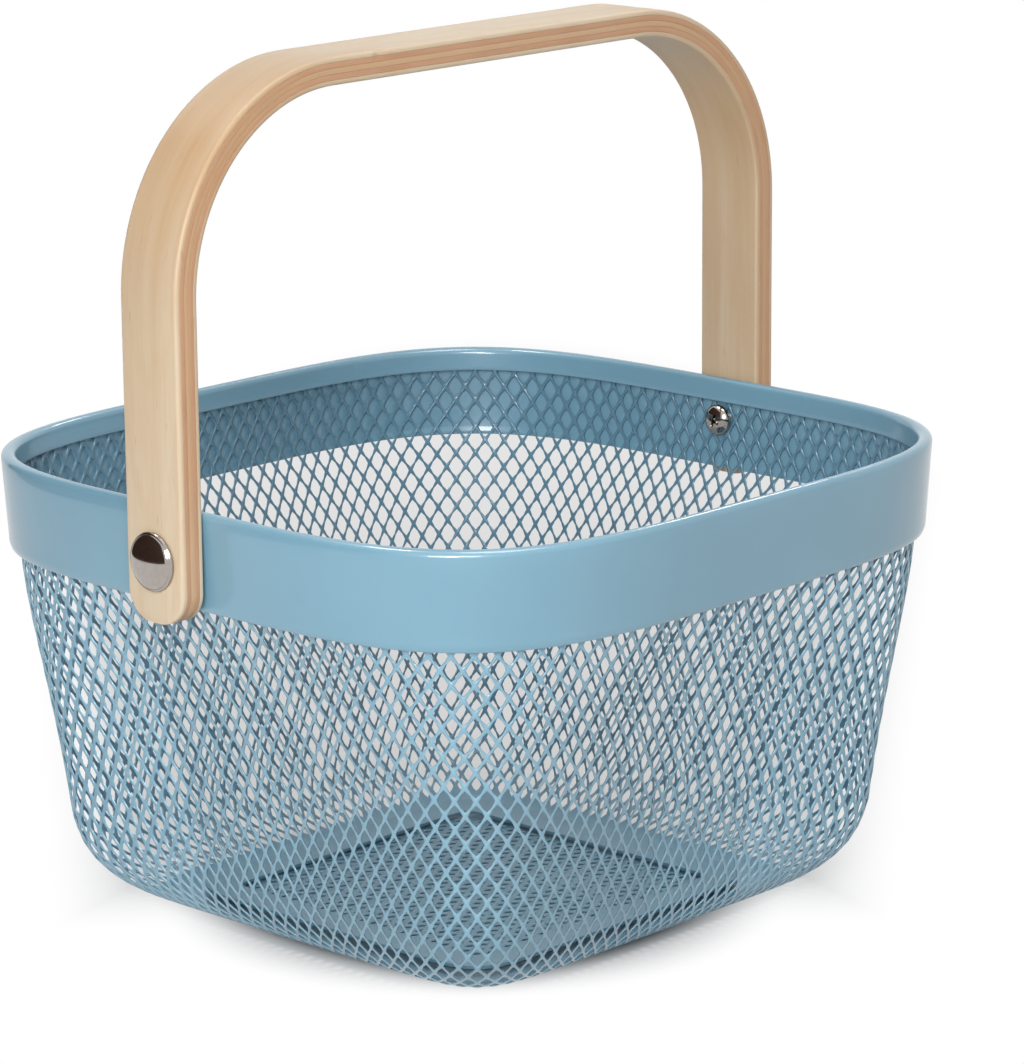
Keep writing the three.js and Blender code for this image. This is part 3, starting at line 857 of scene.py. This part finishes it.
def birch(name, pale, warm, fibre, fleck, fibre_share):
    bench = material_bench(name)
    strip_place = bench.node("ShaderNodeAttribute", {"attribute_name": "strip"}, {}, "Vector")
    axes = [bench.node("ShaderNodeSeparateXYZ", {}, {"Vector": strip_place}, k) for k in range(2)]
    sway = noise(bench, stretched(bench, strip_place, (14, 30, 0)))
    figure = noise(bench, stretched(bench, strip_place, (9, 170, 60)), detail=4, roughness=0.6)
    fibres = noise(bench, stretched(bench, strip_place, (45, 1900, 900)), detail=3, roughness=0.6)
    flecks = noise(bench, stretched(bench, strip_place, (160, 1500, 300)), detail=1, roughness=0.4)
    heated = ramp(bench, axes[0] * (1 / STRIP_LENGTH) + sway * 0.12 - 0.06, *BEND_WARMTH)
    arches = (axes[0] * 190 + axes[1] * axes[1] * 52000 + figure * 7).sine()
    bands = ramp(bench, figure * 0.75 + sway * 0.25, (0.36, 0), (0.66, 1))
    lines = ramp(bench, fibres, (0.44, 0), (0.72, 1))
    marks = ramp(bench, flecks, (0.7, 0), (0.78, 1))
    tone = mixed(bench, heated * 0.8 + bands * 0.3 - 0.1, pale, warm)
    tone = mixed(bench, lines * fibre_share, tone, fibre)
    tone = mixed(bench, ramp(bench, arches, (0.55, 0), (1, 1)) * sway * 0.3, tone, fibre)
    tone = mixed(bench, marks * 0.35, tone, fleck)
    return bench.surface(
        Base_Color=tone,
        Roughness=0.5 + lines * 0.08 - bands * 0.05,
        IOR=1.45,
        Coat_Weight=0.12,
        Coat_Roughness=0.3,
        Normal=bump(bench, fibres * 0.7 - marks * 0.3, FIBRE_DEPTH, 0.3),
    )


face_birch = birch("face_birch", PALE_BIRCH, WARM_BIRCH, FIBRE_BIRCH, FLECK_BIRCH, 0.3)
core_birch = birch("core_birch", CORE_BIRCH, WARM_BIRCH, FIBRE_BIRCH, FLECK_BIRCH, 0.35)
edge_birch = birch("edge_birch", EDGE_BIRCH, EDGE_BIRCH, EDGE_BIRCH_DARK, EDGE_BIRCH_DARK, 0.45)
print("woods:", face_birch.name, core_birch.name, edge_birch.name)

# %% Section of a ply
def ply_section(shallow, deep, outer_round, inner_round, steps=5):
    """Closed line of (depth, across) points. A ply on a face of the strip has soft edges there."""
    line = []
    for radius, depth, side, start in (
        (outer_round, shallow, 1, 90), (inner_round, deep, 1, 0),
        (inner_round, deep, -1, -90), (outer_round, shallow, -1, 180),
    ):
        inward = 1 if depth == shallow else -1
        for k in range(steps + 1):
            turn = math.radians(90 * k / steps)
            first, second = math.cos(turn), math.sin(turn)
            if (side > 0) == (depth == shallow):
                first, second = second, first
            along = depth + inward * radius * (1 - second)
            across = side * (HALF_WIDTH - radius * (1 - first))
            line.append((along, across))
    return line


# %% Sweep the plies and bore their pivots
BORE_RADIUS = 3.3 * MM
DRILL_SIDES = 48
DRILL_OVERRUN = 10 * MM
PLY_EDGE = math.radians(40)
PLIES = {
    "handle_outer_veneer": ("outer_face_ply", face_birch, "face_veneer", 1.0 * MM, 0.08 * MM),
    "handle_outer_cross_ply": ("outer_cross_ply", edge_birch, "cross_ply", 0.06 * MM, 0.06 * MM),
    "handle_core_ply": ("core_ply", core_birch, "core_ply", 0.08 * MM, 0.08 * MM),
    "handle_inner_cross_ply": ("inner_cross_ply", edge_birch, "cross_ply", 0.06 * MM, 0.06 * MM),
    "handle_inner_veneer": ("inner_face_ply", face_birch, "face_veneer", 0.08 * MM, 0.7 * MM),
}


def drill(radius, half_length, height, sides=DRILL_SIDES):
    """A rod along X through the middle of the basket."""
    turns = [2 * math.pi * k / sides for k in range(sides)]
    corners = []
    for x in (-half_length, half_length):
        corners += [(x, radius * math.cos(t), height + radius * math.sin(t)) for t in turns]
    faces = [tuple(range(sides))[::-1], tuple(range(sides, 2 * sides))]
    faces += [(k, (k + 1) % sides, sides + (k + 1) % sides, sides + k) for k in range(sides)]
    return loose_object("drill", corners, faces)


def cut(piece, cutter):
    """Takes the cutter's shape out of a piece, and the cutter out of the scene."""
    difference = piece.modifiers.new("cut", "BOOLEAN")
    difference.operation = "DIFFERENCE"
    difference.solver = "EXACT"
    difference.object = cutter
    ready = piece.evaluated_get(bpy.context.evaluated_depsgraph_get())
    trimmed = bpy.data.meshes.new_from_object(ready)
    piece.modifiers.clear()
    piece.data = trimmed
    bpy.data.objects.remove(cutter)


def sweep_ply(node, order):
    name, material, slot, outer_round, inner_round = PLIES[node]
    shallow = order * (PLY_THICKNESS + GLUE_LINE)
    glued = GLUE_FILL if order < len(PLIES) - 1 else 0
    section = ply_section(shallow, shallow + PLY_THICKNESS + glued, outer_round, inner_round)
    corners = []
    for place, way in path:
        width = end_narrowing(place[1])
        for depth, across in section:
            corners.append((place[0] - way[0] * depth, across * width, place[1] - way[1] * depth))
    size = len(section)
    faces = [tuple(range(size)), tuple(range(len(corners) - size, len(corners)))]
    for k in range(len(path) - 1):
        for i in range(size):
            n = (i + 1) % size
            faces.append((k * size + i, k * size + n, (k + 1) * size + n, (k + 1) * size + i))
    piece = make_piece(name, corners, faces, material, node, PLY_EDGE)
    cut(piece, drill(BORE_RADIUS, HANDLE_OUTSIDE + DRILL_OVERRUN, PIVOT_HEIGHT))
    piece.data.set_sharp_from_angle(angle=PLY_EDGE)
    points = np.array([v.co for v in piece.data.vertices])
    grain = piece.data.attributes.new("strip", "FLOAT_VECTOR", "POINT")
    grain.data.foreach_set("vector", strip_places(points).astype(np.float32).ravel())
    return piece


plies = [sweep_ply(node, order) for order, node in enumerate(PLIES)]
print("bored plies:", [len(ply.data.polygons) for ply in plies])

# %% [markdown]
# ## The pivots
# On each side a capped barrel goes in from outside, through the wood and the band, and a screw from
# inside the basket holds it. Outside, only the cap shows: a flat dome with a bevelled rim, polished like
# a mirror. Inside is a small round-headed screw with a cross recess. Both are turned shapes, so a profile
# is spun round the pivot's axis. A thin dark washer keeps the wood off the paint.

# %% Polished metal and washer plastic
NICKEL = screen_colour(181, 174, 168)
NICKEL_HAZED = screen_colour(165, 158, 151)
WASHER_DARK = screen_colour(46, 48, 50)
WASHER_WORN = screen_colour(60, 62, 64)
RUB_DEPTH = 0.004 * MM
GRIT_DEPTH = 0.02 * MM


def polished_metal():
    bench = material_bench("polished_nickel")
    place = object_place(bench)
    haze = noise(bench, place, scale=700, detail=3)
    rubs = noise(bench, stretched(bench, place, (900, 5200, 900)))
    return bench.surface(
        Base_Color=mixed(bench, haze, NICKEL, NICKEL_HAZED),
        Metallic=1.0,
        Roughness=0.05 + haze * 0.05 + ramp(bench, rubs, (0.6, 0), (0.75, 1)) * 0.04,
        Normal=bump(bench, rubs, RUB_DEPTH, 0.2),
    )


def washer_plastic():
    bench = material_bench("washer_black")
    grit = noise(bench, object_place(bench), scale=3000)
    return bench.surface(
        Base_Color=mixed(bench, grit, WASHER_DARK, WASHER_WORN),
        Roughness=0.55 + grit * 0.15,
        Normal=bump(bench, grit, GRIT_DEPTH, 0.4),
    )


nickel = polished_metal()
washer_black = washer_plastic()
print("pivot finishes:", nickel.name, washer_black.name)

# %% Spin a profile round the pivot
TURNED_STEPS = 96
TURNED_EDGE = math.radians(38)
ON_AXIS = 1e-9


def spun(name, profile, side, material, node):
    """A closed turned piece. The profile is (distance from the middle of the basket, radius)."""
    corners, faces, rims = [], [], []
    for out, radius in profile:
        if radius < ON_AXIS:
            rims.append([len(corners)])
            corners.append((side * out, 0, PIVOT_HEIGHT))
            continue
        rims.append(list(range(len(corners), len(corners) + TURNED_STEPS)))
        for k in range(TURNED_STEPS):
            turn = 2 * math.pi * k / TURNED_STEPS
            corners.append((side * out, radius * math.cos(turn), PIVOT_HEIGHT + radius * math.sin(turn)))
    closed = len(rims[0]) > 1
    pairs = list(zip(rims, rims[1:] + rims[:1])) if closed else list(zip(rims, rims[1:]))
    for first, second in pairs:
        for k in range(TURNED_STEPS):
            n = (k + 1) % TURNED_STEPS
            side_loop = [first[k % len(first)], first[n % len(first)]]
            side_loop += [second[n % len(second)], second[k % len(second)]]
            faces.append(tuple(dict.fromkeys(side_loop)))
    return make_piece(name, corners, faces, material, node, TURNED_EDGE)


# %% Caps, screws and washers
CAP_RADIUS = 7.5 * MM
CAP_EDGE = 0.35 * MM
BARREL_BORE = 2.3 * MM
BARREL_RADIUS = 3 * MM
BARREL_DEPTH = 8 * MM
CAP_RIM = 0.9 * MM
CAP_STEP = 0.28 * MM
CAP_SHOULDER = 0.25 * MM
CAP_BEVEL = 0.1 * MM
DOME_RADIUS = CAP_RADIUS * 0.93
HEAD_HEIGHT = 2.6 * MM
HEAD_ROUND = 0.78 * HEAD_HEIGHT
HEAD_BEVEL = 0.1 * MM
SHANK_RADIUS = 2 * MM
SIDES = {"left": -1, "right": 1}


def reach_along_axis(node):
    """How near the middle of the basket a node begins, how far out it ends, and how wide it is."""
    low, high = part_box(node)
    return (*sorted((abs(low.x), abs(high.x))), high.y)


def cap_profile(side_name):
    start, tip, _ = reach_along_axis(f"{side_name}_cap_nut")
    seat = HANDLE_OUTSIDE + SEAT_GAP
    rim = seat + CAP_RIM
    turns = np.linspace(0, math.pi / 2, 14)[:-1]
    dome = [(rim + (tip - rim) * math.cos(t), DOME_RADIUS * math.sin(t)) for t in turns]
    return [
        *dome,
        (rim + CAP_STEP, DOME_RADIUS),
        (rim, CAP_RADIUS - CAP_BEVEL),
        (rim - CAP_SHOULDER, CAP_RADIUS),
        (seat + CAP_EDGE, CAP_RADIUS),
        (seat, CAP_RADIUS - CAP_EDGE),
        (seat, BARREL_RADIUS),
        (start, BARREL_RADIUS),
        (start, BARREL_BORE),
        (start + BARREL_DEPTH, BARREL_BORE),
        (start + BARREL_DEPTH, 0),
    ]


def screw_profile(side_name):
    crown, end, radius = reach_along_axis(f"{side_name}_screw")
    seat = crown + HEAD_HEIGHT
    turns = np.linspace(0, math.pi / 2, 12)
    round_head = [(crown + HEAD_ROUND * (1 - math.cos(t)), radius * math.sin(t)) for t in turns]
    under_head = [(seat - HEAD_BEVEL, radius), (seat, radius - HEAD_BEVEL)]
    shank = [(seat, SHANK_RADIUS), (end, SHANK_RADIUS), (end, 0)]
    return [*round_head, *under_head, *shank]


def washer_profile(side_name):
    near, far, radius = reach_along_axis(f"{side_name}_washer")
    return [(near, BORE_RADIUS), (near, radius), (far, radius), (far, BORE_RADIUS)]


for name, side in SIDES.items():
    spun(f"{name}_cap", cap_profile(name), side, nickel, f"{name}_cap_nut")
    spun(f"{name}_spacer", washer_profile(name), side, washer_black, f"{name}_washer")
screws = {}
for name, side in SIDES.items():
    profile = screw_profile(name)
    screws[name] = spun(f"{name}_cross_screw", profile, side, nickel, f"{name}_screw")

# %% Cut the cross recess
RECESS_REACH = 2.3 * MM
RECESS_WIDTH = 0.95 * MM
RECESS_DEPTH = 1.7 * MM
RECESS_TURN = math.radians(18)
BLADE_BACK = 0.5 * MM
TIP_REACH = RECESS_REACH * 0.4
TIP_WIDTH = RECESS_WIDTH * 0.5
SQUARE = ((-1, -1), (1, -1), (1, 1), (-1, 1))


def recess_blade(crown, side, turn):
    """A tapered blade that points into the screw head."""
    blade_ends = ((-BLADE_BACK, RECESS_REACH, RECESS_WIDTH), (RECESS_DEPTH, TIP_REACH, TIP_WIDTH))
    corners = []
    for depth, reach, width in blade_ends:
        for u, v in SQUARE:
            across, up = u * reach, v * width / 2
            y = across * math.cos(turn) - up * math.sin(turn)
            z = PIVOT_HEIGHT + across * math.sin(turn) + up * math.cos(turn)
            corners.append((side * (crown + depth), y, z))
    faces = [(0, 1, 2, 3), (7, 6, 5, 4)]
    faces += [(k, k + 4, (k + 1) % 4 + 4, (k + 1) % 4) for k in range(4)]
    blade = loose_object("blade", corners, faces)
    face_outwards(blade.data)
    return blade


for name, side in SIDES.items():
    screw = screws[name]
    crown = reach_along_axis(f"{name}_screw")[0]
    for turn in (RECESS_TURN, RECESS_TURN + math.pi / 2):
        cut(screw, recess_blade(crown, side, turn))
    screw.data.set_sharp_from_angle(angle=TURNED_EDGE)
    print(screw.name, "now has", len(screw.data.polygons), "faces")

# %% [markdown]
# ## The floor
# The basket stands on a plain pale floor that takes its shadow. A white floor under bright lamps would
# turn white too, but then the wood and the paint would be lit too strongly. So the floor is a matt grey
# that gives way to plain white where a ray from the camera, or one that has been mirrored, meets it.
# Under the foot it stays matt, which keeps the shadow. Behind the basket the white is weaker, in a soft
# pool of painted shade that fades out with distance: what shows through the openings of the mesh is then a
# light grey.

# %% Rays that see the white studio
def seeing_rays(bench):
    kinds = ("Is Camera Ray", "Is Glossy Ray", "Is Transmission Ray")
    camera_ray, glossy_ray, clear_ray = [bench.node("ShaderNodeLightPath", {}, {}, kind) for kind in kinds]
    return camera_ray + glossy_ray + clear_ray


# %% Paint the floor
FLOOR_HALF = 6.0
FLOOR_GREY = screen_colour(200, 200, 200)
FLOOR_PALER = screen_colour(202, 202, 202)
WHITE = (1, 1, 1, 1)
FOOT_SHADOW = (0.055, 0.085)
POOL_ALONG = (0.7303, 0.6831, 0)
POOL_ACROSS = (-0.6831, 0.7303, 0)
POOL_START = (-0.05, 0.03)
POOL_SIDES = (0.065, 0.115)
POOL_SPREAD = 0.12
POOL_END = (0.3, 0.58)
POOL_ROUNDNESS = 11
POOL_FADE = (0.15, 0.55)
NEAR_WHITE = 0.42
FAR_WHITE = 0.62


def whiter(bench, distance, stretch):
    """0 before a stretch of distance, 1 beyond it, and a smooth rise between."""
    start, end = stretch
    settings = {"interpolation_type": "SMOOTHSTEP"}
    return bench.node("ShaderNodeMapRange", settings, {0: distance, 1: start, 2: end})


def floor_paint():
    bench = material_bench("pale_floor")
    place = geometry(bench, "Position")
    middle = vector_maths(bench, "LENGTH", place, output="Value")
    behind = vector_maths(bench, "DOT_PRODUCT", place, POOL_ALONG, "Value")
    beside = vector_maths(bench, "DOT_PRODUCT", place, POOL_ACROSS, "Value").size()
    outside = whiter(bench, beside - behind * POOL_SPREAD, POOL_SIDES)
    reach = behind * behind + beside * beside * POOL_ROUNDNESS
    outside = outside.or_more(whiter(bench, reach, POOL_END))
    outside = outside.or_more(whiter(bench, behind * -1, POOL_START))
    # Painted shade: a pool behind the basket where the floor's white is weaker.
    shade = whiter(bench, behind, POOL_FADE) * (FAR_WHITE - NEAR_WHITE) + NEAR_WHITE
    share = seeing_rays(bench) * whiter(bench, middle, FOOT_SHADOW) * outside.or_more(shade)
    pale = mixed(bench, noise(bench, place, scale=900), FLOOR_GREY, FLOOR_PALER)
    matt = {"Base Color": pale, "Roughness": 1.0, "Specular IOR Level": 0.0}
    lit = bench.node("ShaderNodeBsdfPrincipled", {}, matt)
    plain = bench.node("ShaderNodeEmission", {}, {"Color": WHITE, "Strength": 1.0})
    both = bench.node("ShaderNodeMixShader", {}, {0: share, 1: lit, 2: plain})
    bench.node("ShaderNodeOutputMaterial", {}, {"Surface": both})
    return bench.owner


# %% Lay the floor
def flat_sheet(name, corners, material):
    """One flat face of the studio, which isn't part of the basket."""
    sheet = loose_object(name, corners, [(0, 1, 2, 3)])
    sheet.data.materials.append(material)
    sheet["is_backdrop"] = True
    spread = np.ptp(np.array(corners), axis=0)
    print(name, "spans", spread.round(2).tolist(), "m")
    return sheet


flat_sheet("floor", [(x * FLOOR_HALF, y * FLOOR_HALF, 0) for x, y in SQUARE], floor_paint())

# %% [markdown]
# ## A dark card for the polished cap
# A mirror shows only what stands round it. In the studio something dark stood to the left, and the upper
# half of the cap shows it above the pale floor. Darker metal would look dull from every side. A card does
# the same as in the studio: it shows in reflections alone, so it neither shades the basket nor appears in
# the picture.

# %% Stand the card
CARD_DARK = screen_colour(52, 34, 28)
CARD_LIGHT = screen_colour(78, 54, 44)
CARD_FOOT = Vector((-0.43, 0.36, 0))
CARD_ALONG = Vector((0.72, 0.69, 0)) * 0.55
CARD_HEIGHT = Vector((0, 0, 0.7))


def card_paint():
    bench = material_bench("dark_card")
    cloth = noise(bench, geometry(bench, "Position"), scale=40, detail=3)
    return bench.surface(Base_Color=mixed(bench, cloth, CARD_DARK, CARD_LIGHT), Roughness=0.9)


card_low = [CARD_FOOT - CARD_ALONG, CARD_FOOT + CARD_ALONG]
card_high = [corner + CARD_HEIGHT for corner in card_low[::-1]]
card = flat_sheet("dark_card", card_low + card_high, card_paint())
card.visible_camera = False
card.visible_diffuse = False
card.visible_shadow = False
card.visible_transmission = False

# %% [markdown]
# ## The light
# Soft light from several sides shows a shape better than one strong lamp. The key lamp stands in front on
# the left, a small one close to the left side warms that end of the band, one hangs overhead, and a fill
# stands behind. The fill gives no reflections, because at a low angle it would wash out the top of the
# handle. Two small lamps do the opposite: they give the rim its bright lines and light nothing else. All
# are weak enough that a colour renders about as it is written. The sky is white where it is seen and dim
# where it lights.

# %% Sky
WORLD_LEVEL = 0.18


def studio_world():
    bench = Bench(bpy.data.worlds.new("studio"))
    levels = {"Value": seeing_rays(bench), "To Min": WORLD_LEVEL, "To Max": 1.0}
    level = bench.node("ShaderNodeMapRange", {}, levels)
    back = bench.node("ShaderNodeBackground", {}, {"Color": WHITE, "Strength": level})
    bench.node("ShaderNodeOutputWorld", {}, {"Surface": back})
    return bench.owner


bpy.context.scene.world = studio_world()
print("sky lights with", WORLD_LEVEL, "of white")

# %% Lamps
BASKET_MIDDLE = (0, 0, 0.1)
NEAR_LEFT_SIDE = (-0.09, -0.08, 0.1)


def soft_lamp(name, place, side, watts, aim=BASKET_MIDDLE, lights=True, shines=True):
    """A square lamp. It can leave out its light on surfaces, or its reflections."""
    lamp = bpy.data.lights.new(name, "AREA")
    lamp.shape = "SQUARE"
    lamp.size = side
    lamp.energy = watts
    holder = bpy.data.objects.new(name, lamp)
    holder.location = place
    holder.rotation_euler = (Vector(aim) - Vector(place)).to_track_quat("-Z", "Y").to_euler()
    holder.visible_diffuse = lights
    holder.visible_glossy = shines
    bpy.context.scene.collection.objects.link(holder)
    print(name, "gives", watts, "W over", side, "m")


soft_lamp("key_lamp", (-1.15, -1.0, 0.8), side=0.6, watts=12.8)
soft_lamp("near_lamp", (-0.725, -0.4, 0.35), side=0.25, watts=3, aim=NEAR_LEFT_SIDE)
soft_lamp("top_lamp", (0.1, -0.2, 1.4), side=0.6, watts=7.6)
soft_lamp("back_lamp", (1.2, 1.1, 0.8), side=0.6, watts=6, shines=False)
soft_lamp("corner_sheen", (-0.2, 0.45, 1.3), side=0.25, watts=4.5, lights=False)
soft_lamp("side_sheen", (0.8, 0.15, 0.85), side=0.14, watts=1.2, lights=False)
bpy.context.scene.view_settings.view_transform = "Standard"

# %% Write the boxes and finish
visual_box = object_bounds()
for title, box in (("solid", cad_box), ("dressed", visual_box)):
    print(title, "box", [round(x, 4) for corner in box for x in corner])
